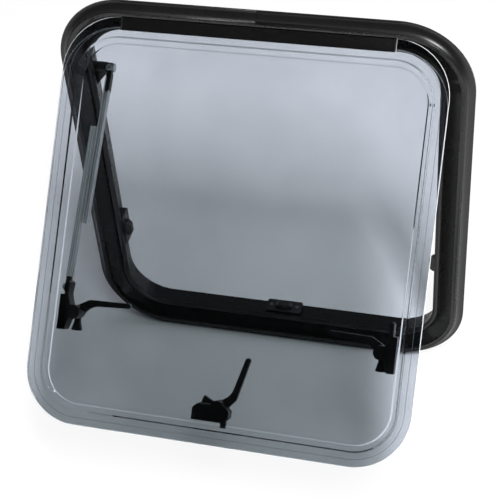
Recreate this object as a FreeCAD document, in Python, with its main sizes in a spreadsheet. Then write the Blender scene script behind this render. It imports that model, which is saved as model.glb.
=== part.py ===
import FreeCAD, Part
import math
import os
import Sketcher

# Top-hung caravan window. Millimetres. X to the right seen from outside, Y into the vehicle, Z up.
# The origin is the middle of the wall cut-out, on the outer skin of the wall.
SIZES = {
    # Frame, a bent extrusion; offsets run inward from its outer edge
    "outer_width": 550, "outer_height": 577, "corner_radius": 98,
    "flange_overlap": 25, "cutout_gap": 1.5,
    "hood_height": 14, "hood_radius": 11, "hood_width": 16.5, "hood_drop": 1.4, "hood_wall": 2.4,
    "floor_thickness": 2, "groove_offset": 34.2, "groove_width": 1.2, "groove_depth": 0.8,
    "lip_reach": 44, "lip_front": 2.6, "lip_back": 0.5, "lip_round": 1,
    "web_width": 8.5, "web_wall": 2.2, "web_depth": 33, "channel_floor": 6,
    "seam_width": 0.5, "seam_reach": 1,
    "seal_offset": 36.6, "seal_width": 6, "seal_gap": 0.5,
    # Hinge
    "axis_offset": 24.2, "axis_forward": 5.2, "bulb_radius": 2.3, "bulb_gap": 0.4,
    "hook_reach": 1.2, "rail_height": 8.5, "strip_wall": 1.5, "strip_top": 1.8, "strip_skirt": 17,
    "strip_cap": 2, "rail_end_gap": 5, "rest_angle": 43.7,
    # Sash
    "sash_offset": 26.5, "sash_low_offset": 29.3, "top_above_axis": 0.5,
    "face_forward": 6, "outer_sheet": 3, "inner_sheet": 2.8,
    "rim_inset": 2, "rim_inset_top": 13, "tray_inset": 22.5, "tray_inset_top": 31,
    "tray_slope": 5, "tray_depth": 14,
    "vent_radius": 2.4, "vent_inset": 19.6, "vent_drop": 76, "vent_height": 1.6,
    # Latches; the side ones sit on the long edges, the third in the middle of the lower edge
    "side_pivot_inset": 48.5, "side_pivot_drop": 382, "low_pivot_inset": 46.5, "low_pivot_side": 4,
    "base_height": 20, "base_above": 39, "base_below": 24, "base_outset": 19, "base_toe": 9.5, "base_waist": 3,
    "base_hip": 4.5, "base_neck": 8.5, "neck_above": 22, "cheek_width": 6.6, "cheek_cut": 2.5, "eye_room": 2,
    "low_base_left": 31, "low_base_right": 16.5, "low_base_above": 3, "low_base_below": 18, "low_base_cut": 6,
    "foot_width": 7, "foot_length": 25, "foot_height": 6, "foot_side": 11, "base_round": 1.5,
    "post_radius": 4, "post_gap": 0.4, "boss_radius": 9, "cap_radius": 7.5, "cap_height": 2.5,
    "lever_thickness": 7, "lever_boss": 8.5, "handle_reach": 70, "handle_rise": 15.3, "handle_width": 6.6,
    "bend_run": 14, "bend_fall": 1.5, "root_run": 26, "root_fall": 2.4, "root_radius": 24, "root_low": 5.5,
    "nub_reach": 26, "nub_width": 13, "nub_neck": 7, "nub_crown": 2, "low_lever_open": 102,
    # Keepers on the inner face of the frame's web
    "keeper_length": 54, "keeper_plate": 9, "keeper_front": 6, "keeper_back": 30, "keeper_round": 3,
    "nose_length": 25, "nose_reach": 18, "nose_front": 12, "nose_back": 20, "nose_tip": 15,
    # Stay, on the left only
    "stay_from_jamb": 27, "stay_frame_y": 13, "stay_below_axis": 92.3,
    "stay_sash_inset": 31.5, "stay_sash_drop": 352, "stay_sash_depth": 33,
    "bar_width": 7.6, "bar_height": 9, "bar_wall": 1.5, "bar_spacing": 9.4,
    "rod_length": 218, "channel_length": 215, "eye_radius": 6.5, "eye_thickness": 6, "eye_lead": 14,
    "pin_radius": 3, "pin_gap": 0.3, "side_gap": 0.4, "pin_cap_radius": 6, "pin_cap": 2.4, "pin_head": 5,
    "bracket_length": 34, "bracket_depth": 20, "bracket_plate": 3, "bracket_boss": 7, "bracket_gap": 1, "bore_run_out": 1,
}

doc = FreeCAD.newDocument("caravan_window")
sheet = doc.addObject("Spreadsheet::Sheet", "Sizes")
for row, (alias, number) in enumerate(SIZES.items(), start=1):
    cell = "A%d" % row
    sheet.set(cell, str(number))
    sheet.setAlias(cell, alias)
doc.recompute()


class Dim:
    """A length that carries its number and the sheet formula it comes from."""

    def __init__(self, value, formula):
        self.value, self.formula = float(value), formula

    def join(self, other, sign, value):
        return Dim(value, "(%s %s %s)" % (self.formula, sign, other.formula))

    def __add__(self, other):
        other = as_dim(other)
        return self.join(other, "+", self.value + other.value)

    def __sub__(self, other):
        other = as_dim(other)
        return self.join(other, "-", self.value - other.value)

    def __mul__(self, other):
        other = as_dim(other)
        return self.join(other, "*", self.value * other.value)

    def __truediv__(self, other):
        other = as_dim(other)
        return self.join(other, "/", self.value / other.value)

    def __radd__(self, other):
        return as_dim(other) + self

    def __rsub__(self, other):
        return as_dim(other) - self

    def __rmul__(self, other):
        return as_dim(other) * self

    def __neg__(self):
        return Dim(-self.value, "(0 - %s)" % self.formula)

    def root(self):
        return Dim(math.sqrt(self.value), "sqrt(%s)" % self.formula)


def as_dim(thing):
    return thing if isinstance(thing, Dim) else Dim(thing, "%.6g" % thing)


def size(alias):
    return Dim(SIZES[alias], "Sizes." + alias)


def bind(thing, prop, length):
    """Ties a property to its sheet formula."""
    thing.setExpression(prop, as_dim(length).formula)


def new_body(name):
    body = doc.addObject("PartDesign::Body", name)
    body.Label = name
    return body


def new_sketch(body, role, offset=0):
    """A sketch on one of the body's own origin planes, moved along the plane's normal."""
    base = next(f for f in body.Origin.OriginFeatures if f.Role == role)
    sketch = body.newObject("Sketcher::SketchObject", body.Name + "_sketch")
    sketch.AttachmentSupport = [(base, "")]
    sketch.MapMode = "FlatFace"
    sketch.AttachmentOffset.Base.z = as_dim(offset).value
    bind(sketch, "AttachmentOffset.Base.z", offset)
    return sketch


def pin_point(sketch, index, position, point):
    """Sets a point's place from the origin, both ways, by formula."""
    for kind, length in zip(("DistanceX", "DistanceY"), point):
        length = as_dim(length)
        number = sketch.addConstraint(Sketcher.Constraint(kind, -1, 1, index, position, length.value))
        bind(sketch, "Constraints[%d]" % number, length)


def draw(sketch, corners):
    """A closed outline. A corner with a third value starts an arc of that radius, with the turn as fourth:
    1 for counter-clockwise, -1 for clockwise."""
    ends = []
    for k, corner in enumerate(corners):
        after = corners[(k + 1) % len(corners)]
        start = FreeCAD.Vector(as_dim(corner[0]).value, as_dim(corner[1]).value, 0)
        stop = FreeCAD.Vector(as_dim(after[0]).value, as_dim(after[1]).value, 0)
        if len(corner) == 2:
            ends.append((sketch.addGeometry(Part.LineSegment(start, stop), False), 1, 2))
            continue
        radius, turn = as_dim(corner[2]), corner[3]
        chord = stop - start
        middle = (start + stop) * 0.5
        rise = math.sqrt(max(radius.value ** 2 - (chord.Length / 2) ** 2, 0))
        left = FreeCAD.Vector(-chord.y, chord.x, 0).normalize()
        centre = middle + left * (rise * turn)
        first, last = (start, stop) if turn > 0 else (stop, start)
        angles = [math.atan2(p.y - centre.y, p.x - centre.x) for p in (first, last)]
        circle = Part.Circle(centre, FreeCAD.Vector(0, 0, 1), radius.value)
        index = sketch.addGeometry(Part.ArcOfCircle(circle, angles[0], angles[1]), False)
        ends.append((index, 1, 2) if turn > 0 else (index, 2, 1))
    for k, (index, begin, end) in enumerate(ends):
        after = ends[(k + 1) % len(ends)]
        sketch.addConstraint(Sketcher.Constraint("Coincident", index, end, after[0], after[1]))
        pin_point(sketch, index, begin, corners[k][:2])
        if len(corners[k]) > 2:
            radius = as_dim(corners[k][2])
            number = sketch.addConstraint(Sketcher.Constraint("Radius", index, radius.value))
            bind(sketch, "Constraints[%d]" % number, radius)


def draw_circle(sketch, x, y, radius):
    x, y, radius = as_dim(x), as_dim(y), as_dim(radius)
    circle = Part.Circle(FreeCAD.Vector(x.value, y.value, 0), FreeCAD.Vector(0, 0, 1), radius.value)
    index = sketch.addGeometry(circle, False)
    pin_point(sketch, index, 3, (x, y))
    number = sketch.addConstraint(Sketcher.Constraint("Radius", index, radius.value))
    bind(sketch, "Constraints[%d]" % number, radius)


def rectangle(left, low, right, high):
    return [(left, low), (right, low), (right, high), (left, high)]


def rounded(left, low, right, high, radius):
    """A rectangle with round corners, drawn counter-clockwise from the middle of its right side."""
    middle = (low + high) / 2
    return [(right, middle), (right, high - radius, radius, 1), (right - radius, high),
            (left + radius, high, radius, 1), (left, high - radius),
            (left, low + radius, radius, 1), (left + radius, low),
            (right - radius, low, radius, 1), (right, low + radius)]


def feature(body, kind, sketch, length):
    made = body.newObject("PartDesign::" + kind, body.Name + "_" + kind.lower())
    made.Profile = sketch
    made.Length = as_dim(length).value
    bind(made, "Length", length)
    sketch.Visibility = False
    return made


def slab(body, corners, back, thickness):
    """Pads an outline in the plane of the window from its back toward the outside."""
    sketch = new_sketch(body, "XZ_Plane", -as_dim(back))
    draw(sketch, corners)
    return feature(body, "Pad", sketch, thickness)


def disc(body, x, z, radius, back, thickness):
    sketch = new_sketch(body, "XZ_Plane", -as_dim(back))
    draw_circle(sketch, x, z, radius)
    return feature(body, "Pad", sketch, thickness)


def bored(body, x, z, radius, front, depth):
    """A hole along Y, cut from its front into the vehicle's direction."""
    sketch = new_sketch(body, "XZ_Plane", -as_dim(front))
    draw_circle(sketch, x, z, radius)
    return feature(body, "Pocket", sketch, depth)


def run(body, corners, start, length):
    """Pads a cross-section along X from its start."""
    sketch = new_sketch(body, "YZ_Plane", start)
    draw(sketch, corners)
    return feature(body, "Pad", sketch, length)


def rod(body, y, z, radius, start, length):
    sketch = new_sketch(body, "YZ_Plane", start)
    draw_circle(sketch, y, z, radius)
    return feature(body, "Pad", sketch, length)


def cross_bored(body, y, z, radius, end, depth):
    """A hole along X, cut back from its end."""
    sketch = new_sketch(body, "YZ_Plane", end)
    draw_circle(sketch, y, z, radius)
    return feature(body, "Pocket", sketch, depth)


def round_rim(body, made, y, radius):
    """Rounds the edges of a feature that lie in the plane at y."""
    doc.recompute()
    level = as_dim(y).value
    names = []
    for k, edge in enumerate(made.Shape.Edges, start=1):
        box = edge.BoundBox
        if abs(box.YMin - level) < 1e-4 and abs(box.YMax - level) < 1e-4:
            names.append("Edge%d" % k)
    fillet = body.newObject("PartDesign::Fillet", body.Name + "_fillet")
    fillet.Base = (made, names)
    fillet.Radius = as_dim(radius).value
    bind(fillet, "Radius", radius)
    return fillet


def sweep_ring(body, section):
    """Sweeps a section, given at the middle of the right-hand side, round the frame's outer edge."""
    half_width, half_height = size("outer_width") / 2, size("outer_height") / 2
    path = new_sketch(body, "XZ_Plane")
    draw(path, rounded(-half_width, -half_height, half_width, half_height, size("corner_radius")))
    profile = new_sketch(body, "XY_Plane")
    draw(profile, [(half_width - corner[0],) + tuple(corner[1:]) for corner in section])
    pipe = body.newObject("PartDesign::AdditivePipe", body.Name + "_pipe")
    pipe.Profile = profile
    pipe.Spine = (path, ["Edge%d" % k for k in range(1, 10)])
    path.Visibility = profile.Visibility = False
    return pipe


# Frame

web_outer = size("flange_overlap") + size("cutout_gap")
web_inner = web_outer + size("web_width")
jamb_x = size("outer_width") / 2 - web_inner
sill_z = web_inner - size("outer_height") / 2
axis_y = -size("axis_forward")
axis_z = size("outer_height") / 2 - size("axis_offset")
sash_radius = size("corner_radius") - size("sash_offset")
sash_half = size("outer_width") / 2 - size("sash_offset")
sash_top = size("top_above_axis")
sash_low = size("sash_low_offset") - size("outer_height") / 2 - axis_z
strip_half = sash_half - sash_radius
stay_frame_x = size("stay_from_jamb") - jamb_x
stay_frame_z = axis_z - size("stay_below_axis")
stay_sash_x = size("stay_sash_inset") - sash_half


def outer_frame():
    """The bent extrusion: a hood over the hinge groove, a lip for the seal and a web through the wall."""
    wall, floor = size("hood_wall"), -size("floor_thickness")
    edge = size("hood_radius") - size("hood_height")
    run_out = size("hood_width") - size("hood_radius")
    nose_radius = (run_out * run_out + size("hood_drop") * size("hood_drop")) / (2 * size("hood_drop"))
    inner_nose = nose_radius - wall
    nose_centre = nose_radius - size("hood_height")
    inner_tip = nose_centre - (inner_nose * inner_nose - run_out * run_out).root()
    groove, groove_end = size("groove_offset"), size("groove_offset") + size("groove_width")
    lip_edge, lip_front = size("lip_reach"), -size("lip_front")
    section = [
        (0, 0),
        (0, edge, size("hood_radius"), -1),
        (size("hood_radius"), -size("hood_height"), nose_radius, -1),
        (size("hood_width"), size("hood_drop") - size("hood_height")),
        (size("hood_width"), inner_tip, inner_nose, 1),
        (size("hood_radius"), wall - size("hood_height"), size("hood_radius") - wall, 1),
        (wall, edge), (wall, floor),
        (groove, floor), (groove, floor + size("groove_depth")),
        (groove_end, floor + size("groove_depth")), (groove_end, lip_front),
        (lip_edge - size("lip_round"), lip_front, size("lip_round"), -1),
        (lip_edge, lip_front + size("lip_round")), (lip_edge, size("lip_back")),
        (web_inner, size("lip_back")), (web_inner, size("web_depth")),
        (web_inner - size("web_wall"), size("web_depth")), (web_inner - size("web_wall"), size("channel_floor")),
        (web_outer + size("web_wall"), size("channel_floor")), (web_outer + size("web_wall"), size("web_depth")),
        (web_outer, size("web_depth")), (web_outer, 0),
    ]
    mirrored = [corner if len(corner) == 2 else corner[:3] + (-corner[3],) for corner in section]
    body = new_body("outer_frame")
    sweep_ring(body, mirrored)
    top, half_seam, reach = size("outer_height") / 2, size("seam_width") / 2, size("seam_reach")
    seam = new_sketch(body, "XZ_Plane", size("hood_height") + reach)
    draw(seam, rectangle(-half_seam, top - size("hood_width") - reach, half_seam, top + reach))
    feature(body, "Pocket", seam, size("hood_height") + reach - size("floor_thickness"))
    return body


def frame_seal():
    """The rubber bead on the lip that the closed sash presses on."""
    body = new_body("frame_seal")
    start, end = size("seal_offset"), size("seal_offset") + size("seal_width")
    height = size("axis_forward") + size("face_forward") - size("outer_sheet") - size("inner_sheet") \
        - size("lip_front") - size("seal_gap")
    radius = (size("seal_width") * size("seal_width") / 4 + height * height) / (2 * height)
    sweep_ring(body, [(start, -size("lip_front"), radius, -1), (end, -size("lip_front"))])
    return body


def hinge_rail():
    """The trough under the hood that carries the bulb of the sash's hinge strip."""
    body = new_body("hinge_rail")
    bore = size("bulb_radius") + size("bulb_gap")
    floor = -size("floor_thickness")
    low = axis_z - size("rail_height")
    front = axis_y - size("hook_reach")
    hook_z = axis_z - (bore * bore - size("hook_reach") * size("hook_reach")).root()
    half = strip_half - size("rail_end_gap")
    run(body, [(floor, low), (floor, axis_z), (axis_y + bore, axis_z, bore, -1), (front, hook_z), (front, low)],
        -half, 2 * half)
    return body


def keeper(name):
    """A screwed plate with a nose that the latch's nub turns behind. Local Z points into the opening."""
    body = new_body(name)
    half = size("keeper_length") / 2
    depth = size("keeper_back") - size("keeper_front")
    sketch = new_sketch(body, "XY_Plane")
    draw(sketch, rounded(-half, size("keeper_front"), half, size("keeper_back"), size("keeper_round")))
    feature(body, "Pad", sketch, size("keeper_plate"))
    nose = size("nose_length") / 2
    tip = size("nose_tip") / 2
    slab(body, [(-nose, 0), (nose, 0), (nose, size("nose_reach") - (nose - tip)), (tip, size("nose_reach")),
                (-tip, size("nose_reach")), (-nose, size("nose_reach") - (nose - tip))],
         size("nose_back"), size("nose_back") - size("nose_front"))
    return body


def stay_bracket():
    """The plate on the left jamb with the pivot for the upper end of the stay."""
    body = new_body("stay_bracket")
    jamb = -jamb_x
    y, z = size("stay_frame_y"), stay_frame_z
    half_depth, half_length = size("bracket_depth") / 2, size("bracket_length") / 2
    mid_y = size("lip_back") + half_depth + size("bracket_gap")
    run(body, rounded(mid_y - half_depth, z - half_length, mid_y + half_depth, z + half_length, size("keeper_round")),
        jamb, size("bracket_plate"))
    seat = stay_frame_x - size("eye_thickness") / 2 - size("side_gap")
    rod(body, y, z, size("bracket_boss"), jamb, seat - jamb)
    rod(body, y, z, size("pin_radius"), jamb, stay_frame_x + size("eye_thickness") / 2 + size("side_gap") - jamb)
    return body


def stay_pivot_cap():
    """The round cap on the frame's stay pivot."""
    body = new_body("stay_pivot_cap")
    start = stay_frame_x + size("eye_thickness") / 2 + size("side_gap")
    rod(body, size("stay_frame_y"), stay_frame_z, size("pin_cap_radius"), start, size("pin_cap"))
    return body


# Sash, drawn shut, with the hinge axis as its own origin

face_y = -size("face_forward")
sheet_back = face_y + size("outer_sheet")
rim_back = sheet_back + size("inner_sheet")
tray_back = face_y + size("tray_depth")


def sash_outline(inset, inset_top):
    return rounded(inset - sash_half, sash_low + inset, sash_half - inset, sash_top - inset_top,
                   sash_radius - inset)


def outer_pane():
    body = new_body("outer_pane")
    slab(body, sash_outline(as_dim(0), as_dim(0)), sheet_back, size("outer_sheet"))
    return body


def tray_loft(body, kind, levels):
    sketches = []
    for back, inset, inset_top in levels:
        sketch = new_sketch(body, "XZ_Plane", -back)
        draw(sketch, sash_outline(inset, inset_top))
        sketch.Visibility = False
        sketches.append(sketch)
    loft = body.newObject("PartDesign::" + kind, body.Name + "_" + kind.lower())
    loft.Profile = sketches[0]
    loft.Sections = sketches[1:]
    loft.Ruled = True
    return loft


def inner_pane():
    """The formed inner sheet: a bonded rim and a shallow tray that stands toward the room."""
    body = new_body("inner_pane")
    wall, slope = size("inner_sheet"), size("tray_slope")
    slab(body, sash_outline(size("rim_inset"), size("rim_inset_top")), rim_back, wall)
    tray_loft(body, "AdditiveLoft", [(sheet_back, size("tray_inset"), size("tray_inset_top")),
                                     (tray_back, size("tray_inset") + slope, size("tray_inset_top") + slope)])
    tray_loft(body, "SubtractiveLoft",
              [(sheet_back, size("tray_inset") + wall, size("tray_inset_top") + wall),
               (tray_back - wall, size("tray_inset") + wall + slope, size("tray_inset_top") + wall + slope)])
    return body


def strip_section(with_bulb):
    """A skirt over the outer face, a wall over the top edge and the bulb behind it."""
    front, skirt = face_y - size("strip_wall"), sash_top - size("strip_skirt")
    radius = size("bulb_radius")
    crown = sash_top + size("strip_top")
    if not with_bulb:
        return [(front, skirt), (face_y, skirt), (face_y, sash_top), (sheet_back, sash_top),
                (sheet_back, crown), (front, crown)]
    return [(front, skirt), (face_y, skirt), (face_y, sash_top), (-radius, sash_top), (-radius, 0, radius, 1),
            (0, -radius, radius, 1), (radius, 0, radius, 1), (0, crown), (front, crown)]


def hinge_strip():
    body = new_body("hinge_strip")
    run(body, strip_section(True), size("strip_cap") - strip_half, 2 * (strip_half - size("strip_cap")))
    return body


def strip_cap(name, start):
    body = new_body(name)
    run(body, strip_section(False), start, size("strip_cap"))
    return body


def vent_plug():
    """The small plug in the rim that vents the space between the sheets."""
    body = new_body("vent_plug")
    disc(body, sash_half - size("vent_inset"), sash_top - size("vent_drop"), size("vent_radius"),
         rim_back + size("vent_height"), size("vent_height"))
    return body


base_top = tray_back + size("base_height")
lever_low = base_top + size("post_gap")
lever_high = lever_low + size("lever_thickness")
post_high = lever_high + size("post_gap")
side_pivot_x = sash_half - size("side_pivot_inset")
side_pivot_z = sash_top - size("side_pivot_drop")
low_pivot_z = sash_low + size("low_pivot_inset")


def latch_post(body, x, z):
    """The boss, the post through the lever, both standing on the tray."""
    disc(body, x, z, size("boss_radius"), base_top, size("base_height"))
    return disc(body, x, z, size("post_radius"), post_high, post_high - tray_back)


def side_latch_base(name, side):
    """A long block on the tray's edge; its upper end is a cheek for the stay. Side is -1 left, 1 right."""
    body = new_body(name)
    x, z = side * side_pivot_x, side_pivot_z
    high, low, cut = z + size("base_above"), z - size("base_below"), size("cheek_cut")
    outer, waist = x + side * size("base_outset"), x + side * size("base_waist")
    cheek = side * (-stay_sash_x - size("eye_thickness") / 2 - size("side_gap"))
    inner = cheek - side * size("cheek_width")
    step = sash_top - size("stay_sash_drop") - size("eye_radius") - size("eye_room")
    corners = [(outer, low), (outer, step), (cheek, step), (cheek, high - cut), (cheek - side * cut, high),
               (inner + side * cut, high), (inner, high - cut), (x + side * size("base_neck"), z + size("neck_above")),
               (waist, z + size("base_hip")), (waist, z - size("base_hip")), (x + side * size("base_toe"), low)]
    block = slab(body, corners if side < 0 else corners[::-1], base_top, size("base_height"))
    round_rim(body, block, base_top, size("base_round"))
    latch_post(body, x, z)
    return body


def low_latch_base():
    body = new_body("latch_base_bottom")
    x, z = size("low_pivot_side"), low_pivot_z
    left, low = x - size("low_base_left"), z - size("low_base_below")
    right, high, cut = x + size("low_base_right"), z + size("low_base_above"), size("low_base_cut")
    block = slab(body, [(left, low), (right - cut, low), (right, low + cut), (right, high - cut), (right - cut, high),
                        (left + cut, high), (left, high - cut)], base_top, size("base_height"))
    round_rim(body, block, base_top, size("base_round"))
    foot = x + size("foot_side") - size("foot_width") / 2
    slab(body, rectangle(foot, z - size("foot_length"), foot + size("foot_width"), z), tray_back + size("foot_height"),
         size("foot_height"))
    latch_post(body, x, z)
    return body


def latch_cap(name, x, z):
    body = new_body(name)
    cap = disc(body, x, z, size("cap_radius"), post_high + size("cap_height"), size("cap_height"))
    round_rim(body, cap, post_high + size("cap_height"), size("cap_height") / 2)
    return body


def stay_pin():
    """The pivot on the latch block's cheek for the lower end of the stay."""
    body = new_body("stay_pin")
    cheek = stay_sash_x + size("eye_thickness") / 2 + size("side_gap")
    y, z = face_y + size("stay_sash_depth"), sash_top - size("stay_sash_drop")
    far = stay_sash_x - size("eye_thickness") / 2 - size("side_gap")
    rod(body, y, z, size("pin_radius"), far, cheek - far)
    rod(body, y, z, size("pin_head"), far - size("pin_cap"), size("pin_cap"))
    return body


# Levers, drawn about their own pivot at the rest turn of the side ones

def lever(name, side):
    """A cranked handle and a nub. Side is -1 for the left-hand shape and 1 for its mirror image."""
    body = new_body(name)
    boss, neck, wide = size("lever_boss"), size("nub_neck") / 2, size("nub_width") / 2
    half, rise = size("handle_width") / 2, size("handle_rise")
    tip, under = size("handle_reach") - half, rise - half
    root_x = (boss * boss - size("root_low") * size("root_low")).root()
    nub_end, nub_root = -size("nub_reach"), -(boss * boss - neck * neck).root()
    shoulder = (boss * boss - neck * neck / 4).root()
    crown, spare = size("nub_crown"), size("bore_run_out")
    outline = [
        (tip, under, half, 1), (tip + half, rise, half, 1), (tip, rise + half),
        (size("bend_run"), rise + half - size("bend_fall")), (-neck / 2, shoulder, boss, 1),
        (-neck, nub_root), (-neck, nub_end / 2),
        (-wide, nub_end + crown, size("nub_reach"), 1), (wide, nub_end + crown),
        (neck, nub_end / 2), (neck, nub_root, boss, 1), (root_x, -size("root_low"), size("root_radius"), -1),
        (size("root_run"), under - size("root_fall")),
    ]
    slab(body, turned(outline, side), lever_high, size("lever_thickness"))
    bored(body, 0, 0, size("post_radius") + size("post_gap"), lever_low - spare, size("lever_thickness") + 2 * spare)
    return body


def turned(corners, side):
    """The outline as drawn for the left, or its mirror image for the right."""
    if side < 0:
        return corners
    return [(-c[0], c[1]) if len(c) == 2 else (-c[0], c[1], c[2], -c[3]) for c in corners]


# Stay, each bar drawn along its own Z with its pivot at the origin

def bar(name, length):
    """An open aluminium profile: a square channel with its slot toward the other bar."""
    body = new_body(name)
    half_x, half_y, wall = size("bar_width") / 2, size("bar_height") / 2, size("bar_wall")
    sketch = new_sketch(body, "XY_Plane", size("eye_lead"))
    mouth = half_y - wall
    draw(sketch, [(-half_x, -half_y), (half_x, -half_y), (half_x, half_y), (-half_x, half_y),
                  (-half_x, mouth), (half_x - wall, mouth), (half_x - wall, -mouth), (-half_x, -mouth)])
    feature(body, "Pad", sketch, size(length) - size("eye_lead"))
    return body


def bar_end(name):
    """The plastic end with the eye; its tongue stands in the bar's end."""
    body = new_body(name)
    half, spare = size("eye_thickness") / 2, size("bore_run_out")
    rod(body, 0, 0, size("eye_radius"), -half, size("eye_thickness"))
    tongue = size("bar_height") / 2
    run(body, rectangle(-tongue, 0, tongue, size("eye_lead")), -half, size("eye_thickness"))
    cross_bored(body, 0, 0, size("pin_radius") + size("pin_gap"), half + spare, size("eye_thickness") + 2 * spare)
    return body


# Places

X_AXIS, Y_AXIS, Z_AXIS = FreeCAD.Vector(1, 0, 0), FreeCAD.Vector(0, 1, 0), FreeCAD.Vector(0, 0, 1)


def turn(axis, degrees):
    return FreeCAD.Placement(FreeCAD.Vector(), FreeCAD.Rotation(axis, degrees))


def shift(x, y, z):
    return FreeCAD.Placement(FreeCAD.Vector(*[as_dim(v).value for v in (x, y, z)]), FreeCAD.Rotation())


sash_place = shift(0, axis_y, axis_z).multiply(turn(X_AXIS, -SIZES["rest_angle"]))
side_keeper_z = axis_z + side_pivot_z

stay_top = shift(stay_frame_x, size("stay_frame_y"), stay_frame_z).Base
stay_low = sash_place.multVec(shift(stay_sash_x, face_y + size("stay_sash_depth"),
                                    sash_top - size("stay_sash_drop")).Base)
stay_slope = math.degrees(math.atan2(stay_top.y - stay_low.y, stay_top.z - stay_low.z))
lean = math.degrees(math.atan2(stay_low.x - stay_top.x + SIZES["bar_spacing"], (stay_top - stay_low).Length))
along_stay = turn(X_AXIS, -stay_slope)

places = {}


def add(body, place=FreeCAD.Placement()):
    places[body.Label] = (body, place)


add(outer_frame())
add(frame_seal())
add(hinge_rail())
add(keeper("keeper_bottom"), shift(size("low_pivot_side"), 0, sill_z))
add(keeper("keeper_left"), shift(-jamb_x, 0, side_keeper_z).multiply(turn(Y_AXIS, 90)))
add(keeper("keeper_right"), shift(jamb_x, 0, side_keeper_z).multiply(turn(Y_AXIS, -90)))
add(stay_bracket())
add(stay_pivot_cap())

add(outer_pane(), sash_place)
add(inner_pane(), sash_place)
add(hinge_strip(), sash_place)
add(strip_cap("strip_cap_left", -strip_half), sash_place)
add(strip_cap("strip_cap_right", strip_half - size("strip_cap")), sash_place)
add(vent_plug(), sash_place)
add(side_latch_base("latch_base_left", -1), sash_place)
add(side_latch_base("latch_base_right", 1), sash_place)
add(low_latch_base(), sash_place)
add(latch_cap("latch_cap_left", -side_pivot_x, side_pivot_z), sash_place)
add(latch_cap("latch_cap_right", side_pivot_x, side_pivot_z), sash_place)
add(latch_cap("latch_cap_bottom", size("low_pivot_side"), low_pivot_z), sash_place)
add(stay_pin(), sash_place)

add(lever("lever_left", -1), sash_place.multiply(shift(-side_pivot_x, 0, side_pivot_z)))
add(lever("lever_right", 1), sash_place.multiply(shift(side_pivot_x, 0, side_pivot_z)))
add(lever("lever_bottom", 1), sash_place.multiply(shift(size("low_pivot_side"), 0, low_pivot_z))
    .multiply(turn(Y_AXIS, SIZES["low_lever_open"])))

rod_place = FreeCAD.Placement(stay_low, FreeCAD.Rotation()).multiply(along_stay).multiply(turn(Y_AXIS, -lean))
channel_place = FreeCAD.Placement(stay_top, FreeCAD.Rotation()).multiply(along_stay) \
    .multiply(turn(Y_AXIS, -lean)).multiply(turn(Z_AXIS, 180)).multiply(turn(X_AXIS, 180))
add(bar("stay_rod", "rod_length"), rod_place)
add(bar_end("rod_end"), rod_place)
add(bar("stay_channel", "channel_length"), channel_place)
add(bar_end("channel_head"), channel_place)

doc.recompute()
for body, place in places.values():
    body.Placement = place
doc.recompute()

faults = [o.Label for o in doc.Objects if "Invalid" in o.State or "Error" in o.State]
for label, (body, place) in places.items():
    if body.Shape.isNull() or not body.Shape.isValid() or len(body.Shape.Solids) != 1:
        faults.append(label)
if faults:
    raise RuntimeError("not built: " + ", ".join(sorted(set(faults))))

os.makedirs("parts", exist_ok=True)
for label, (body, place) in places.items():
    body.Shape.exportStep("parts/%s.step" % label)
print("pieces", len(places))
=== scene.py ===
import math

import bmesh
import bpy
from mathutils import Matrix, Vector


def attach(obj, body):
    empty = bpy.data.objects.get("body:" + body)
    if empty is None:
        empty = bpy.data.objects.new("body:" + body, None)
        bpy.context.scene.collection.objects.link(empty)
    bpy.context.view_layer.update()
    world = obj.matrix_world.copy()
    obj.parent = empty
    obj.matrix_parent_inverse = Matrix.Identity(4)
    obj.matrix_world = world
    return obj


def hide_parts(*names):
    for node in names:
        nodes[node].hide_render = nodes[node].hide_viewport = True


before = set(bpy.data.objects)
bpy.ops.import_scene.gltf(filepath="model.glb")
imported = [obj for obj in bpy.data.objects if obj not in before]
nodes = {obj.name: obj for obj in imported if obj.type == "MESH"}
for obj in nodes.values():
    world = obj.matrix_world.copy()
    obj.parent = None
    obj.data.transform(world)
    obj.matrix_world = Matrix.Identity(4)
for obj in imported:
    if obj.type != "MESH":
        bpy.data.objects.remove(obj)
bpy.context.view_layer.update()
MM = 0.001

# The sash stands open about the hinge axis under the top of the frame
SASH_OPEN = math.radians(43.7)
HINGE_Y, HINGE_Z = -5.2 * MM, 264.3 * MM
SASH_PLACE = Matrix.Translation((0, HINGE_Y, HINGE_Z)) @ Matrix.Rotation(-SASH_OPEN, 4, "X")
SASH_HALF, SASH_TOP, SASH_LOW, SASH_ROUND = 248.5, 0.5, -523.5, 71.5
SHEET_FRONT, SHEET_BACK = -6.0, -3.0

# The frame's inner faces, where the latches' keepers sit on them, and the level of the floor
JAMB_X, SILL_Z = 240.0, -253.5
LATCH_Z, LOW_LATCH_X = -117.2, 4.0
FLOOR_Z = -288.5 * MM

# The stay runs from its pivot on the left jamb to the one on the sash
STAY_TOP = Vector((-213.0, 13.0, 172.0))
STAY_LOW = (SASH_PLACE @ (Vector((-217.0, 27.0, -351.5)) * MM)) / MM
BAR_SPACING, EYE_LEAD = 9.4, 14.0
UPPER_BAR_END, LOWER_BAR_END = 215, 218

# A prism's outline laid in X and Z and drawn along Y, or in Y and Z and drawn along X
UPRIGHT = Matrix(((1, 0, 0, 0), (0, 0, 1, 0), (0, 1, 0, 0), (0, 0, 0, 1)))
SIDEWAYS = Matrix(((0, 0, 1, 0), (1, 0, 0, 0), (0, 1, 0, 0), (0, 0, 0, 1)))

# Edges sharper than this are broken, and carry a mark for wear and, on metal, for a painted highlight
SHARP_EDGE = math.radians(28.0)
EDGE_MARK = "edge"
MOULDED_SMOOTH, SHEET_SMOOTH = 34, 30
CORNER_STEPS, BEND_STEPS = 20, 5
ACRYLIC_IOR = 1.49


# Shader node groups


def link(tree, source, target):
    tree.links.new(source, target)


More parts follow.
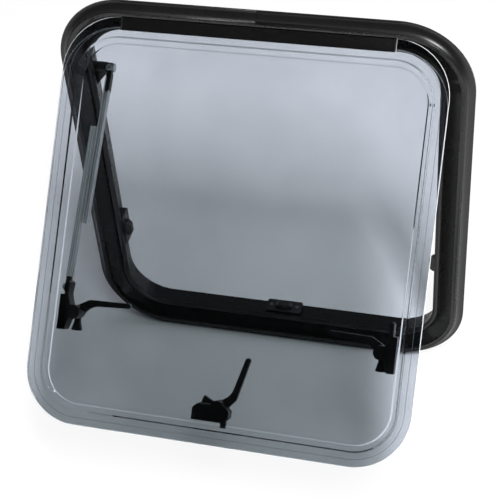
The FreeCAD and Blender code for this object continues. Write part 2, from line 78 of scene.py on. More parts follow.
def new_group(name, inputs, outputs):
    """An empty shader group with named sockets, and its two end nodes."""
    group = bpy.data.node_groups.new(name, "ShaderNodeTree")
    for socket, kind, value in inputs:
        made = group.interface.new_socket(socket, in_out="INPUT", socket_type=kind)
        made.default_value = value
    for socket, kind in outputs:
        group.interface.new_socket(socket, in_out="OUTPUT", socket_type=kind)
    return group, group.nodes.new("NodeGroupInput"), group.nodes.new("NodeGroupOutput")


def noise(tree, vector, scale, detail=3.0, rough=0.55):
    node = tree.nodes.new("ShaderNodeTexNoise")
    node.inputs["Detail"].default_value = detail
    node.inputs["Roughness"].default_value = rough
    if isinstance(scale, (int, float)):
        node.inputs["Scale"].default_value = scale
    else:
        link(tree, scale, node.inputs["Scale"])
    link(tree, vector, node.inputs["Vector"])
    return node.outputs["Fac"]


def remap(tree, value, low, high, to_low=0.0, to_high=1.0):
    node = tree.nodes.new("ShaderNodeMapRange")
    node.interpolation_type = "SMOOTHSTEP"
    ends = (("From Min", low), ("From Max", high), ("To Min", to_low), ("To Max", to_high))
    for socket, number in ends:
        node.inputs[socket].default_value = number
    link(tree, value, node.inputs["Value"])
    return node.outputs["Result"]


def math_node(tree, operation, first, second):
    node = tree.nodes.new("ShaderNodeMath")
    node.operation = operation
    for socket, value in zip(node.inputs, (first, second)):
        if isinstance(value, (int, float)):
            socket.default_value = value
        else:
            link(tree, value, socket)
    return node.outputs[0]


def mix_colour(tree, factor, first, second):
    node = tree.nodes.new("ShaderNodeMix")
    node.data_type = "RGBA"
    link(tree, factor, node.inputs["Factor"])
    for socket, value in ((node.inputs["A"], first), (node.inputs["B"], second)):
        if isinstance(value, tuple):
            socket.default_value = value
        else:
            link(tree, value, socket)
    return node.outputs["Result"]


def make_grain_group():
    """Fine moulded or sprayed grain: a height for bump and a slow mottle for gloss."""
    group, start, end = new_group(
        "surface_grain",
        [("Coordinates", "NodeSocketVector", (0, 0, 0)), ("Grain scale", "NodeSocketFloat", 1500.0),
         ("Mottle scale", "NodeSocketFloat", 30.0)],
        [("Height", "NodeSocketFloat"), ("Mottle", "NodeSocketFloat")])
    where = start.outputs["Coordinates"]
    fine = noise(group, where, start.outputs["Grain scale"], detail=2.0)
    slow = noise(group, where, start.outputs["Mottle scale"], detail=4.0)
    link(group, fine, end.inputs["Height"])
    link(group, remap(group, slow, 0.3, 0.7), end.inputs["Mottle"])
    return group


def make_wear_group():
    """Rubbed edges: the marked edge faces, broken up by noise."""
    group, start, end = new_group(
        "edge_wear",
        [("Coordinates", "NodeSocketVector", (0, 0, 0)), ("Edge", "NodeSocketFloat", 0.0),
         ("Patch scale", "NodeSocketFloat", 120.0), ("Amount", "NodeSocketFloat", 0.5)],
        [("Mask", "NodeSocketFloat")])
    noise_patches = noise(group, start.outputs["Coordinates"], start.outputs["Patch scale"], detail=5.0)
    both = math_node(group, "MULTIPLY", start.outputs["Edge"], remap(group, noise_patches, 0.4, 0.7))
    link(group, math_node(group, "MULTIPLY", both, start.outputs["Amount"]), end.inputs["Mask"])
    return group


def make_dust_group():
    """Thin dust that lies on upward faces."""
    group, start, end = new_group(
        "settled_dust",
        [("Coordinates", "NodeSocketVector", (0, 0, 0)), ("Amount", "NodeSocketFloat", 0.2)],
        [("Mask", "NodeSocketFloat")])
    geometry = group.nodes.new("ShaderNodeNewGeometry")
    split = group.nodes.new("ShaderNodeSeparateXYZ")
    link(group, geometry.outputs["Normal"], split.inputs[0])
    up = remap(group, split.outputs["Z"], 0.25, 1.0)
    noise_patches = noise(group, start.outputs["Coordinates"], 260.0, detail=6.0, rough=0.7)
    both = math_node(group, "MULTIPLY", up, remap(group, noise_patches, 0.42, 0.72))
    link(group, math_node(group, "MULTIPLY", both, start.outputs["Amount"]), end.inputs["Mask"])
    return group


GRAIN, WEAR, DUST = make_grain_group(), make_wear_group(), make_dust_group()


# Materials


def grey(level):
    return (level, level, level, 1)


def toned(colour, factor=1.0):
    """The colour, lighter or darker by a factor, with full alpha."""
    return tuple(min(1.0, c * factor) for c in colour) + (1,)


def new_material(name):
    material = bpy.data.materials.new(name)
    material.use_nodes = True
    tree = material.node_tree
    return material, tree, tree.nodes["Principled BSDF"]


def placed(tree, group, where, **values):
    """A shader group in a material, at the given coordinates."""
    node = tree.nodes.new("ShaderNodeGroup")
    node.node_tree = group
    link(tree, where, node.inputs["Coordinates"])
    for socket, value in values.items():
        node.inputs[socket.replace("_", " ")].default_value = value
    return node


def object_coordinates(tree):
    return tree.nodes.new("ShaderNodeTexCoord").outputs["Object"]


def edge_mark(tree):
    node = tree.nodes.new("ShaderNodeAttribute")
    node.attribute_name = EDGE_MARK
    return node.outputs["Fac"]


def add_relief(tree, shader, height, strength, distance):
    node = tree.nodes.new("ShaderNodeBump")
    node.inputs["Strength"].default_value = strength
    node.inputs["Distance"].default_value = distance
    link(tree, height, node.inputs["Height"])
    link(tree, node.outputs["Normal"], shader.inputs["Normal"])


def show_mixed(tree, factor, first, second):
    """Makes a mix of two shaders the material's surface."""
    mixer = tree.nodes.new("ShaderNodeMixShader")
    link(tree, factor, mixer.inputs["Fac"])
    link(tree, first, mixer.inputs[1])
    link(tree, second, mixer.inputs[2])
    link(tree, mixer.outputs["Shader"], tree.nodes["Material Output"].inputs["Surface"])


def coated(name, colour, worn, rough, grain_scale, bump, dust, wear=0.4, gloss=0.5):
    """A painted, moulded or rubber finish with grain, mottled gloss, rubbed edges and a little dust."""
    material, tree, shader = new_material(name)
    where = object_coordinates(tree)
    grain = placed(tree, GRAIN, where, Grain_scale=grain_scale)
    rubbed = placed(tree, WEAR, where, Amount=wear)
    dusty = placed(tree, DUST, where, Amount=dust)
    link(tree, edge_mark(tree), rubbed.inputs["Edge"])
    mottle = grain.outputs["Mottle"]
    mottle_lift, dust_tone = 1.12, (0.42, 0.41, 0.39)
    body = mix_colour(tree, mottle, toned(colour), toned(colour, mottle_lift))
    body = mix_colour(tree, rubbed.outputs["Mask"], body, grey(worn))
    body = mix_colour(tree, dusty.outputs["Mask"], body, toned(dust_tone))
    link(tree, body, shader.inputs["Base Color"])
    smoother, rougher = rough - 0.006, rough + 0.01
    link(tree, remap(tree, mottle, 0, 1, smoother, rougher), shader.inputs["Roughness"])
    shader.inputs["Specular IOR Level"].default_value = gloss
    add_relief(tree, shader, grain.outputs["Height"], bump, distance=0.0002)
    return material


def drawn_metal(name, colour, rough, along, metallic=1.0):
    """Bare or anodised metal with fine lines along the drawing direction, and a painted highlight on its broken
    edges.
    """
    material, tree, shader = new_material(name)
    where = object_coordinates(tree)
    stretch = tree.nodes.new("ShaderNodeMapping")
    stretch.inputs["Scale"].default_value = along
    link(tree, where, stretch.inputs["Vector"])
    lines = noise(tree, stretch.outputs["Vector"], 1.0, detail=4.0, rough=0.6)
    grain = placed(tree, GRAIN, where, Grain_scale=1.0, Mottle_scale=45.0)
    dusty = placed(tree, DUST, where, Amount=0.12)
    mottle_drop, edge_highlight_tone, dust_tone = 0.78, 0.95, (0.4, 0.39, 0.37)
    body = mix_colour(tree, grain.outputs["Mottle"], toned(colour, mottle_drop), toned(colour))
    # Broken edges painted near white: a painted highlight
    body = mix_colour(tree, edge_mark(tree), body, grey(edge_highlight_tone))
    body = mix_colour(tree, dusty.outputs["Mask"], body, toned(dust_tone))
    link(tree, body, shader.inputs["Base Color"])
    shader.inputs["Metallic"].default_value = metallic
    smoother, rougher = rough - 0.07, rough + 0.1
    link(tree, remap(tree, lines, 0.25, 0.75, smoother, rougher), shader.inputs["Roughness"])
    add_relief(tree, shader, lines, strength=0.12, distance=0.0001)
    return material


def tinted_sheet(name, tint, shade, bend=ACRYLIC_IOR):
    """Grey-tinted acrylic, with soft darker patches of painted shade in its tint. Light from lamps and floor
    passes it, weakened by its shade.
    """
    material, tree, shader = new_material(name)
    where = object_coordinates(tree)
    # Soft random patches that darken the tint a little: painted shade
    noise_patches = remap(tree, noise(tree, where, 5.0), 0.3, 0.7)
    painted_shade_drop = 0.93
    body = mix_colour(tree, noise_patches, toned(tint, painted_shade_drop), toned(tint))
    link(tree, body, shader.inputs["Base Color"])
    specks = noise(tree, where, 420.0, detail=6.0, rough=0.7)
    link(tree, remap(tree, specks, 0.62, 0.75, 0.0, 0.05), shader.inputs["Roughness"])
    shader.inputs["Transmission Weight"].default_value = 1.0
    shader.inputs["IOR"].default_value = bend
    add_relief(tree, shader, noise(tree, where, 14.0, detail=2.0), strength=0.02, distance=0.002)
    clear = tree.nodes.new("ShaderNodeBsdfTransparent")
    clear.inputs["Color"].default_value = toned(shade)
    path = tree.nodes.new("ShaderNodeLightPath")
    either = math_node(tree, "MAXIMUM", path.outputs["Is Shadow Ray"], path.outputs["Is Diffuse Ray"])
    show_mixed(tree, either, shader.outputs["BSDF"], clear.outputs["BSDF"])
    return material


def cut_edge(name, colour):
    """The sawn and flamed edge of the sheet, which gathers light."""
    material, tree, shader = new_material(name)
    where = object_coordinates(tree)
    streaks = remap(tree, noise(tree, where, 90.0, detail=4.0), 0.3, 0.7)
    streak_lift = 1.15
    body = mix_colour(tree, streaks, toned(colour), toned(colour, streak_lift))
    link(tree, body, shader.inputs["Base Color"])
    link(tree, remap(tree, noise(tree, where, 700.0), 0.3, 0.7, 0.14, 0.3), shader.inputs["Roughness"])
    shader.inputs["Transmission Weight"].default_value = 0.08
    shader.inputs["IOR"].default_value = ACRYLIC_IOR
    return material


FRAME_BLACK = coated("frame_black", (0.0055, 0.0055, 0.0057), worn=0.08, rough=0.27,
                     grain_scale=1800.0, bump=0.03, dust=0.005, gloss=0.34)
STRIP_BLACK = coated("strip_black", (0.003, 0.003, 0.0032), worn=0.08, rough=0.25,
                     grain_scale=1800.0, bump=0.03, dust=0.01)
LATCH_BLACK = coated("latch_black", (0.007, 0.007, 0.007), worn=0.05, rough=0.42,
                     grain_scale=1300.0, bump=0.20, dust=0.01)
WELD_GREY = coated("weld_grey", (0.15, 0.155, 0.16), worn=0.2, rough=0.5,
                   grain_scale=900.0, bump=0.1, dust=0.0, wear=0.1)
SEAL_RUBBER = coated("seal_rubber", (0.006, 0.006, 0.006), worn=0.02, rough=0.60,
                     grain_scale=900.0, bump=0.25, dust=0.0, wear=0.1)
STAY_ALUMINIUM = drawn_metal("stay_aluminium", (0.58, 0.57, 0.60), 0.36, (1600, 1600, 30), metallic=0.15)
PIN_GREY = drawn_metal("pin_grey", (0.50, 0.50, 0.51), 0.34, (700, 700, 700), metallic=0.6)
CLIP_STEEL = drawn_metal("clip_steel", (0.72, 0.72, 0.72), 0.28, (700, 700, 700), metallic=0.5)
SCREW_STEEL = drawn_metal("screw_steel", (0.30, 0.30, 0.31), 0.36, (900, 900, 900))
OUTER_TINT = tinted_sheet("outer_acrylic", (0.702, 0.730, 0.787), (0.62, 0.64, 0.63))
INNER_TINT = tinted_sheet("inner_acrylic", (0.75, 0.778, 0.814), (0.68, 0.70, 0.69), bend=1.3)
SHEET_EDGE = cut_edge("acrylic_edge", (0.62, 0.64, 0.66))


# Pieces


def add_object(name, data):
    made = bpy.data.objects.new(name, data)
    bpy.context.scene.collection.objects.link(made)
    return made


def new_piece(name, mesh, material, body, stands_for=()):
    piece = add_object(name, mesh)
    mesh.materials.clear()
    mesh.materials.append(material)
    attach(piece, body)
    if stands_for:
        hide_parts(*stands_for)


def shade_by_angle(mesh, degrees):
    for face in mesh.polygons:
        face.use_smooth = True
    mesh.set_sharp_from_angle(angle=math.radians(degrees))


def as_mesh(name, made, smooth):
    mesh = bpy.data.meshes.new(name)
    made.to_mesh(mesh)
    made.free()
    shade_by_angle(mesh, smooth)
    return mesh


def finished(name, made, bevel, steps):
    """Breaks the sharp edges, marks them for wear and for the painted highlight on metal, and gives the mesh."""
    mark = made.loops.layers.float_color.new(EDGE_MARK)

    def paint(faces, level):
        for face in faces:
            for corner in face.loops:
                corner[mark] = grey(level)

    paint(made.faces, 0)
    if bevel:
        sharp = [edge for edge in made.edges
                 if len(edge.link_faces) == 2 and edge.calc_face_angle(0.0) > SHARP_EDGE]
        broken = bmesh.ops.bevel(made, geom=sharp, offset=bevel * MM, segments=steps, profile=0.5,
                                 affect="EDGES", clamp_overlap=True)
        paint(broken["faces"], 1)
    return as_mesh(name, made, MOULDED_SMOOTH)


def softened(node, material, body, bevel, steps=2):
    """A merged copy of a solid with its sharp edges broken."""
    made = bmesh.new()
    made.from_mesh(nodes[node].data)
    bmesh.ops.remove_doubles(made, verts=made.verts, dist=2e-6)
    mesh = finished(node + "_shell", made, bevel, steps)
    new_piece(node + "_shell", mesh, material, body, (node,))


def prism(name, outline, start, end, place, bevel, steps=2):
    """An outline in X and Y, drawn along Z from start to end, put in place, with its edges broken."""
    made = bmesh.new()
    rows = [[made.verts.new(place @ (Vector((x, y, z)) * MM)) for x, y in outline] for z in (start, end)]
    for k in range(len(outline)):
        nxt = (k + 1) % len(outline)
        made.faces.new((rows[0][k], rows[0][nxt], rows[1][nxt], rows[1][k]))
    made.faces.new(rows[0][::-1])
    made.faces.new(rows[1])
    bmesh.ops.recalc_face_normals(made, faces=made.faces)
    return finished(name, made, bevel, steps)


def ellipse(radius, steps, stretch=1.0):
    """The outline of a round or oval disc."""
    turns = [2 * math.pi * k / steps for k in range(steps)]
    return [(radius * math.cos(turn), stretch * radius * math.sin(turn)) for turn in turns]


def sash_ring(inset, inset_top, depth):
    """Points of the sash's outline, moved inward and to a depth, in the shut sash's own axes."""
    radius = SASH_ROUND - inset
    side, top, low = SASH_HALF - inset, SASH_TOP - inset_top, SASH_LOW + inset
    centres = [(side - radius, top - radius), (radius - side, top - radius),
               (radius - side, low + radius), (side - radius, low + radius)]
    ring = []
    for quarter, (x, z) in enumerate(centres):
        for k in range(CORNER_STEPS + 1):
            angle = math.pi / 2 * (quarter + k / CORNER_STEPS)
            point = Vector((x + radius * math.cos(angle), depth, z + radius * math.sin(angle)))
            ring.append(point * MM)
    return ring


def lofted(name, rings, hoop=False):
    """A closed skin over rings of equal length, capped at both ends or, for a hoop, joined end to end."""
    made = bmesh.new()
    rows = [[made.verts.new(SASH_PLACE @ point) for point in ring] for ring in rings]
    for row, after in zip(rows, rows[1:] + rows[:1] if hoop else rows[1:]):
        for k in range(len(row)):
            nxt = (k + 1) % len(row)
            made.faces.new((row[k], row[nxt], after[nxt], after[k]))
    if not hoop:
        made.faces.new(rows[0][::-1])
        made.faces.new(rows[-1])
    bmesh.ops.recalc_face_normals(made, faces=made.faces)
    return as_mesh(name, made, SHEET_SMOOTH)


def bent(profile, radius):
    """The profile with rounded bends, kept flat up to each; a point is inset, inset at the top, depth."""
    points = [Vector(p) for p in profile]
    most, flat = 0.45, 0.04
    rounded = [points[0]]
    for before, corner, after in zip(points, points[1:], points[2:]):
        reach = min(radius, (before - corner).length * most, (after - corner).length * most)
        back, onward = (before - corner).normalized(), (after - corner).normalized()
        rounded.append(corner + back * (reach + flat))
        for k in range(BEND_STEPS + 1):
            t = k / BEND_STEPS
            rounded.append(corner + back * reach * (1 - t) ** 2 + onward * reach * t ** 2)
        rounded.append(corner + onward * (reach + flat))
    return rounded + [points[-1]]


def make_outer_sheet():
    """The flat sheet, and its cut edge as a hoop round it."""
    edge, overlap, round_off = 0.6, 0.03, 0.45
    mesh = lofted("outer_sheet", [sash_ring(edge, edge, depth) for depth in (SHEET_FRONT, SHEET_BACK)])
    new_piece("outer_sheet", mesh, OUTER_TINT, "sash", ("outer_pane",))
    near = edge - overlap
    hoop = [(near, SHEET_FRONT), (round_off, SHEET_FRONT), (0, SHEET_FRONT + round_off),
            (0, SHEET_BACK - round_off), (round_off, SHEET_BACK), (near, SHEET_BACK)]
    mesh = lofted("sheet_edge", [sash_ring(inset, inset, depth) for inset, depth in hoop], hoop=True)
    new_piece("sheet_edge", mesh, SHEET_EDGE, "sash")


def make_inner_tray():
    """The formed inner sheet: a flat rim on the outer sheet, a slope and a raised middle."""
    rim_front, rim_back, middle_front, middle_back = SHEET_BACK + 0.15, -0.2, 5.2, 8.0
    bend_radius = 0.6
    corners = [(42, 48.5, middle_front), (26.6, 33.3, middle_front), (20.1, 26.8, rim_front), (1, 13, rim_front),
               (1, 13, rim_back), (17.3, 24, rim_back), (23.8, 30.5, middle_back), (42, 48.5, middle_back)]
    mesh = lofted("inner_tray", [sash_ring(*point) for point in bent(corners, bend_radius)])
    new_piece("inner_tray", mesh, INNER_TINT, "sash", ("inner_pane",))


def make_weld():
    """The thin line where the two sheets are joined, all round near their edges."""
    outer, inner, front, back = (9.3, 14.0), (9.8, 14.5), -2.98, -2.87
    section = [(*outer, front), (*inner, front), (*inner, back), (*outer, back)]
    mesh = lofted("weld_line", [sash_ring(*point) for point in section], hoop=True)
    new_piece("weld_line", mesh, WELD_GREY, "sash")


def make_marks():
    """A long faint scratch and two scuffs on the face of the outer sheet: start, end and half width."""
    marks = {"long_scratch": ((28.0, -218.0), (116.0, -169.3), 0.035),
             "scuff_small": ((-216.2, -479.8), (-214.6, -480.6), 0.45),
             "scuff_large": ((-208.4, -483.2), (-204.9, -485.2), 0.7)}
    proud, sunk = SHEET_FRONT - 0.04, SHEET_FRONT + 0.02
    # Shares of the length and of the half width, round a lens that is blunter at one end
    lens = [(0, 0), (0.4, -1), (0.7, -0.8), (1, 0), (0.6, 1), (0.3, 0.7)]
    for name, (start, end, half) in marks.items():
        start, end = Vector(start), Vector(end)
        across = (end - start).orthogonal().normalized() * half
        outline = [start.lerp(end, along) + across * aside for along, aside in lens]
        mesh = prism(name, outline, proud, sunk, SASH_PLACE @ UPRIGHT, 0.0)
        new_piece(name, mesh, SHEET_EDGE, "sash")


make_outer_sheet()
make_inner_tray()
make_weld()
make_marks()

softened("outer_frame", FRAME_BLACK, "frame", 0.0)
softened("hinge_rail", FRAME_BLACK, "frame", 0.3)
softened("frame_seal", SEAL_RUBBER, "frame", 0.0)
softened("stay_bracket", LATCH_BLACK, "frame", 0.6)
softened("stay_pivot_cap", PIN_GREY, "frame", 0.8, 3)
for side in ("left", "right", "bottom"):
    softened("keeper_" + side, LATCH_BLACK, "frame", 0.8, 3)
    softened("latch_base_" + side, LATCH_BLACK, "sash", 0.7)
    softened("latch_cap_" + side, LATCH_BLACK, "sash", 0.0)
    softened("lever_" + side, LATCH_BLACK, "lever_" + side, 1.8, 4)
softened("hinge_strip", STRIP_BLACK, "sash", 0.4)
for side in ("left", "right"):
    softened("strip_cap_" + side, LATCH_BLACK, "sash", 0.4)
softened("stay_pin", PIN_GREY, "sash", 0.5)
softened("rod_end", LATCH_BLACK, "stay_rod", 0.5)
softened("channel_head", LATCH_BLACK, "stay_channel", 0.5)


def bar_places():
    """Where the stay's lower and upper bar stand, each with its pivot as origin and its length along Z."""
    reach = STAY_TOP - STAY_LOW
    slope = math.atan2(reach.y, reach.z)
    lean = math.atan2(BAR_SPACING - reach.x, reach.length)
    turn = Matrix.Rotation(-slope, 4, "X") @ Matrix.Rotation(-lean, 4, "Y")
    flip = Matrix.Rotation(math.pi, 4, "Z") @ Matrix.Rotation(math.pi, 4, "X")
    return Matrix.Translation(STAY_LOW * MM) @ turn, Matrix.Translation(STAY_TOP * MM) @ turn @ flip


def make_bars(low, top):
    """Two aluminium profiles: the upper one open to the front, the lower one with two fine grooves."""
    half, deep, wall = 3.8, 4.5, 1.5
    open_front = [(-half, -deep), (wall - half, -deep), (wall - half, deep - wall), (half - wall, deep - wall),
                  (half - wall, -deep), (half, -deep), (half, deep), (-half, deep)]
    mesh = prism("upper_bar", open_front, EYE_LEAD, UPPER_BAR_END, top, 0.5)
    new_piece("upper_bar", mesh, STAY_ALUMINIUM, "stay_channel", ("stay_channel",))
    side, notch, shoulder, front, back = 4.1, 1.0, -2.5, -4.9, 4.8
    sleeve_start, sleeve_end = 8, 33
    sleeve = [(side, shoulder), (notch, shoulder), (notch, front), (-side, front), (-side, back), (side, back)]
    mesh = prism("head_sleeve", sleeve, sleeve_start, sleeve_end, top, 0.4)
    new_piece("head_sleeve", mesh, LATCH_BLACK, "stay_channel")
    groove, cut = 0.5, 1.2
    ribbed = [(-half, -deep)]
    for middle in (-1.5, 1.7):
        ribbed += [(middle - groove, -deep), (middle - groove, cut - deep),
                   (middle + groove, cut - deep), (middle + groove, -deep)]
    ribbed += [(half, -deep), (half, deep), (-half, deep)]
    mesh = prism("lower_bar", ribbed, EYE_LEAD, LOWER_BAR_END, low, 0.35)
    new_piece("lower_bar", mesh, STAY_ALUMINIUM, "stay_rod", ("stay_rod",))


def make_bar_fittings(low, top):
    """The round button on the stay's head and the spring clip at its foot."""
    button_place, button_radius, button_height = Vector((0, -5.6, 1.5)), 4.4, 2.2
    face_out = top @ Matrix.Translation(button_place * MM) @ Matrix.Rotation(math.pi / 2, 4, "X")
    mesh = prism("head_button", ellipse(button_radius, 24), 0, button_height, face_out, 0.6, 3)
    new_piece("head_button", mesh, PIN_GREY, "stay_channel")
    clip_start, clip_end = 12, 25
    clip = [(3.9, -2.5), (5.4, -2.5), (6.2, 0), (5.4, 2.5), (3.9, 2.5), (4.9, 0)]
    mesh = prism("foot_clip", clip, clip_start, clip_end, low, 0.2)
    new_piece("foot_clip", mesh, CLIP_STEEL, "stay_rod")


def make_small_pieces():
    """The vent's dot, the cut end of the hinge strip and the rib under the stay's bracket."""
    dot_place, dot_radius, dot_stretch, dot_height = Vector((225.9, 1.2, -75.5)), 1.3, 1.5, 1.4
    on_rim = SASH_PLACE @ Matrix.Translation(dot_place * MM) @ Matrix.Rotation(-math.pi / 2, 4, "X")
    mesh = prism("vent_dot", ellipse(dot_radius, 20, dot_stretch), 0, dot_height, on_rim, 0.3)
    new_piece("vent_dot", mesh, LATCH_BLACK, "sash", ("vent_plug",))
    front, low, top = -7.55, -16.55, 2.35
    section = [(front, low), (SHEET_FRONT, low), (SHEET_FRONT, SASH_TOP), (SHEET_BACK, SASH_TOP),
               (SHEET_BACK, top), (front, top)]
    strip_end, cut_face = 176.9, 177.4
    mesh = prism("strip_cut_end", section, strip_end, cut_face, SASH_PLACE @ SIDEWAYS, 0.1)
    new_piece("strip_cut_end", mesh, CLIP_STEEL, "sash")
    wall, out, rib_front, rib_back = -JAMB_X + 0.5, -219, 8, 18
    rib = [(wall, 178), (out, 178), (out, 164), (wall, 140)]
    mesh = prism("bracket_rib", rib, rib_front, rib_back, UPRIGHT, 0.8)
    new_piece("bracket_rib", mesh, LATCH_BLACK, "frame")


SCREW_SIZES = {"Head radius": 2.6 * MM, "Head height": 1.6 * MM, "Recess width": 0.7 * MM}


def screw_tree(material):
    """Cross-recess pan heads, one on each point, turned to the point's own direction."""
    head_sides, recess_reach, recess_lift = 24, 1.3, 0.55
    tree = bpy.data.node_groups.new("screw_heads", "GeometryNodeTree")
    tree.interface.new_socket("Points", in_out="INPUT", socket_type="NodeSocketGeometry")
    sizes = {}
    for name, value in SCREW_SIZES.items():
        sizes[name] = tree.interface.new_socket(name, in_out="INPUT", socket_type="NodeSocketFloat")
        sizes[name].default_value = value
    tree.interface.new_socket("Heads", in_out="OUTPUT", socket_type="NodeSocketGeometry")
    start, end = tree.nodes.new("NodeGroupInput"), tree.nodes.new("NodeGroupOutput")
    radius, height, width = (start.outputs[name] for name in SCREW_SIZES)
    head = tree.nodes.new("GeometryNodeMeshCylinder")
    head.inputs["Vertices"].default_value = head_sides
    link(tree, radius, head.inputs["Radius"])
    link(tree, height, head.inputs["Depth"])
    recess = tree.nodes.new("GeometryNodeMeshBoolean")
    recess.operation = "DIFFERENCE"
    link(tree, head.outputs["Mesh"], recess.inputs[0])
    length = math_node(tree, "MULTIPLY", radius, recess_reach)
    for along, across in ((length, width), (width, length)):
        size = tree.nodes.new("ShaderNodeCombineXYZ")
        link(tree, along, size.inputs["X"])
        link(tree, across, size.inputs["Y"])
        link(tree, height, size.inputs["Z"])
        bar = tree.nodes.new("GeometryNodeMeshCube")
        link(tree, size.outputs["Vector"], bar.inputs["Size"])
        lift = tree.nodes.new("ShaderNodeCombineXYZ")
        link(tree, math_node(tree, "MULTIPLY", height, recess_lift), lift.inputs["Z"])
        raised = tree.nodes.new("GeometryNodeTransform")
        link(tree, bar.outputs["Mesh"], raised.inputs["Geometry"])
        link(tree, lift.outputs["Vector"], raised.inputs["Translation"])
        link(tree, raised.outputs["Geometry"], recess.inputs[1])
    facing = tree.nodes.new("GeometryNodeInputNamedAttribute")
    facing.data_type = "FLOAT_VECTOR"
    facing.inputs["Name"].default_value = "facing"
    aim = tree.nodes.new("FunctionNodeAlignRotationToVector")
    aim.axis = "Z"
    link(tree, facing.outputs["Attribute"], aim.inputs["Vector"])
    spread = tree.nodes.new("GeometryNodeInstanceOnPoints")
    link(tree, start.outputs["Points"], spread.inputs["Points"])
    link(tree, recess.outputs["Mesh"], spread.inputs["Instance"])
    link(tree, aim.outputs["Rotation"], spread.inputs["Rotation"])
    real = tree.nodes.new("GeometryNodeRealizeInstances")
    link(tree, spread.outputs["Instances"], real.inputs["Geometry"])
    paint = tree.nodes.new("GeometryNodeSetMaterial")
    paint.inputs["Material"].default_value = material
    link(tree, real.outputs["Geometry"], paint.inputs["Geometry"])
    link(tree, paint.outputs["Geometry"], end.inputs["Heads"])
    return tree, sizes


def screw_spots():
    """Two screws in each keeper and two in the stay's bracket: a place and a direction."""
    spots = []
    wing, middle, proud = 19.75, 18.0, 9.3
    for offset in (-wing, wing):
        spots.append(((LOW_LATCH_X + offset, middle, SILL_Z + proud), (0, 0, 1)))
        spots.append(((proud - JAMB_X, middle, LATCH_Z + offset), (1, 0, 0)))
        spots.append(((JAMB_X - proud, middle, LATCH_Z + offset), (-1, 0, 0)))
    wing, middle, proud = 12.5, 5.0, 3.3
    for offset in (-wing, wing):
        spots.append(((proud - JAMB_X, middle, STAY_TOP.z + offset), (1, 0, 0)))
    return spots


def make_screws():
    spots = screw_spots()
    mesh = bpy.data.meshes.new("screw_spots")
    mesh.from_pydata([Vector(place) * MM for place, way in spots], [], [])
    ways = mesh.attributes.new("facing", "FLOAT_VECTOR", "POINT")
    for k, (place, way) in enumerate(spots):
        ways.data[k].vector = way
    holder = add_object("screw_spots", mesh)
    tree, sizes = screw_tree(SCREW_STEEL)
    modifier = holder.modifiers.new("screw_heads", "NODES")
    modifier.node_group = tree
    for name, value in SCREW_SIZES.items():
        modifier[sizes[name].identifier] = value
    ready = holder.evaluated_get(bpy.context.evaluated_depsgraph_get())
    heads = bpy.data.meshes.new_from_object(ready)
    bpy.data.objects.remove(holder)
    heads.name = "frame_screws"
    shade_by_angle(heads, MOULDED_SMOOTH)
    new_piece("frame_screws", heads, SCREW_STEEL, "frame")


stay_places = bar_places()
make_bars(*stay_places)
make_bar_fittings(*stay_places)
make_small_pieces()
make_screws()


# Floor, light and camera


def make_floor():
    """A pale floor, brightened for the camera alone so that it meets the white behind it."""
    reach, tone, brightened = 6.0, 0.9, 0.88
    corners = [(-reach, -reach), (reach, -reach), (reach, reach), (-reach, reach)]
    mesh = bpy.data.meshes.new("studio_floor")
    mesh.from_pydata([(x, y, FLOOR_Z) for x, y in corners], [], [(0, 1, 2, 3)])
    floor = add_object("studio_floor", mesh)
    material, tree, shader = new_material("floor_white")
    shader.inputs["Base Color"].default_value = grey(tone)
    shader.inputs["Roughness"].default_value = 0.9
    shader.inputs["Specular IOR Level"].default_value = 0.0
    glow = tree.nodes.new("ShaderNodeEmission")
    glow.inputs["Color"].default_value = grey(1)
    glow.inputs["Strength"].default_value = 1.0
    path = tree.nodes.new("ShaderNodeLightPath")
    seen = math_node(tree, "MULTIPLY", path.outputs["Is Camera Ray"], brightened)
    show_mixed(tree, seen, shader.outputs["BSDF"], glow.outputs["Emission"])
    mesh.materials.append(material)


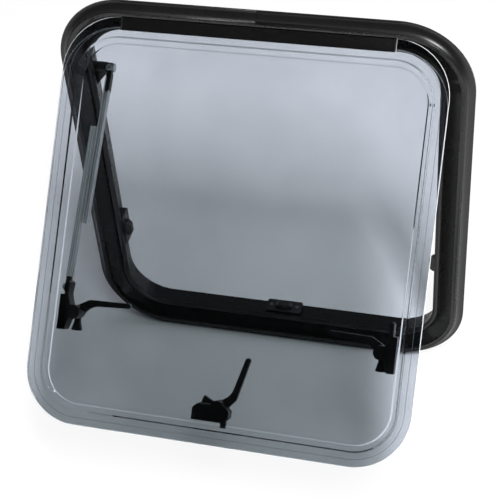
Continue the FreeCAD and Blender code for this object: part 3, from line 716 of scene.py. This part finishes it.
def make_world():
    """A soft studio: a dim room, lighter behind, with a broad light overhead and a dark wall in front."""
    world = bpy.data.worlds.new("studio")
    bpy.context.scene.world = world
    world.use_nodes = True
    tree = world.node_tree
    sky = tree.nodes["Background"]
    way = tree.nodes.new("ShaderNodeTexCoord").outputs["Generated"]
    path = tree.nodes.new("ShaderNodeLightPath")

    def toward(direction, start, full):
        """How far a direction points at this one, from 0 to 1."""
        facing = tree.nodes.new("ShaderNodeVectorMath")
        facing.operation = "DOT_PRODUCT"
        link(tree, way, facing.inputs[0])
        facing.inputs[1].default_value = Vector(direction).normalized()
        return remap(tree, facing.outputs["Value"], start, full)

    front_tone, back_tone, overhead_tone, card_tone, wall_tone = 0.05, 0.20, 0.95, 30.0, 0.008
    room = mix_colour(tree, toward((0, 1, 0.1), -0.3, 0.6), grey(front_tone), grey(back_tone))
    room = mix_colour(tree, toward((0.45, 0.1, 0.9), 0.55, 0.98), room, grey(overhead_tone))
    # A small bright card that shows in reflections alone, for the streak on the frame's corner
    card = toward((0.68, 0.05, 0.73), 0.96, 0.995)
    card = math_node(tree, "MULTIPLY", card, path.outputs["Is Glossy Ray"])
    room = mix_colour(tree, card, room, grey(card_tone))
    # White where it is seen through the sheets or by the camera
    room = mix_colour(tree, path.outputs["Is Transmission Ray"], room, grey(1))
    room = mix_colour(tree, toward((-0.23, -0.69, 0.685), 0.62, 0.86), room, grey(wall_tone))
    room = mix_colour(tree, path.outputs["Is Camera Ray"], room, grey(1))
    link(tree, room, sky.inputs["Color"])
    sky.inputs["Strength"].default_value = 1.0


def make_lamp(name, place, aim, width, height, power):
    """A rectangular lamp that neither reflections nor the sheets show."""
    lamp = bpy.data.lights.new(name, "AREA")
    lamp.shape, lamp.size, lamp.size_y, lamp.energy = "RECTANGLE", width, height, power
    holder = add_object(name, lamp)
    holder.location = place
    holder.rotation_euler = (Vector(aim) - Vector(place)).to_track_quat("-Z", "Y").to_euler()
    holder.visible_glossy = holder.visible_transmission = False


def make_camera():
    """The view of the photograph, from a fit to the frame's and the sash's outlines."""
    right = Vector((0.9678137, 0.24257775, -0.06702747))
    down = Vector((0.11496496, -0.66306098, -0.73968453))
    ahead = Vector((-0.22387431, 0.70817101, -0.66960744))
    place = (0.38830726, -1.34600611, 1.15289416)
    camera = bpy.data.cameras.new("camera")
    camera.sensor_width, camera.lens = 36.0, 93.995
    camera.clip_start, camera.clip_end = 0.05, 50.0
    holder = add_object("camera", camera)
    turn = Matrix((right, -down, -ahead)).transposed().to_4x4()
    holder.matrix_world = Matrix.Translation(place) @ turn
    bpy.context.scene.camera = holder


make_floor()
make_world()
make_lamp("key", (0.68, -1.37, 2.17), aim=(0, -0.05, 0), width=0.50, height=1.0, power=125.0)
make_lamp("top", (0.0, 0.2, 2.2), aim=(0.0, 0.15, 0), width=1.0, height=0.8, power=7.0)
make_camera()
bpy.context.scene.view_settings.view_transform = "Standard"
